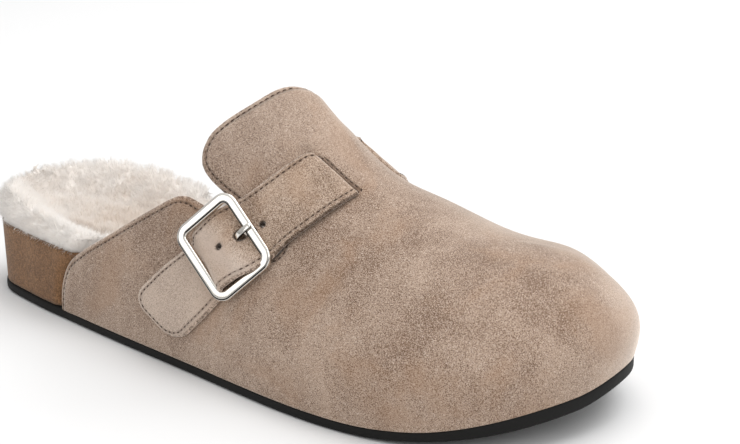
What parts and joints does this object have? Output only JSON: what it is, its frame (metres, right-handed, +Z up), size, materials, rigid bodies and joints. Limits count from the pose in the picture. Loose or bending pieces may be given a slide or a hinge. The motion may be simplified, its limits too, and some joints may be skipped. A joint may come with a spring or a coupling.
{
  "type": "closed-toe mule",
  "caption": "Closed-toe suede mule for the right foot: open heel, fleece-covered contoured footbed, thin flat outsole and an instep strap fastened by a square buckle.",
  "frame": {"origin": "centre of the footprint on the floor", "axes": "+X from heel to toe, +Y to the medial side, +Z up"},
  "size_m": [0.2658, 0.1009, 0.0943],
  "materials": {
    "rubber": "matt black",
    "wrap": "brown nap",
    "fleece": "cream fleece",
    "suede": "taupe suede",
    "nickel": "polished",
    "chape_leather": "taupe leather"
  },
  "bodies": {
    "root": {"outsole": "rubber", "footbed": "wrap", "fleece": "fleece", "upper": "suede", "strap": "suede", "buckle": "nickel", "prong": "nickel", "chape": "chape_leather"}
  },
  "joints": []
}
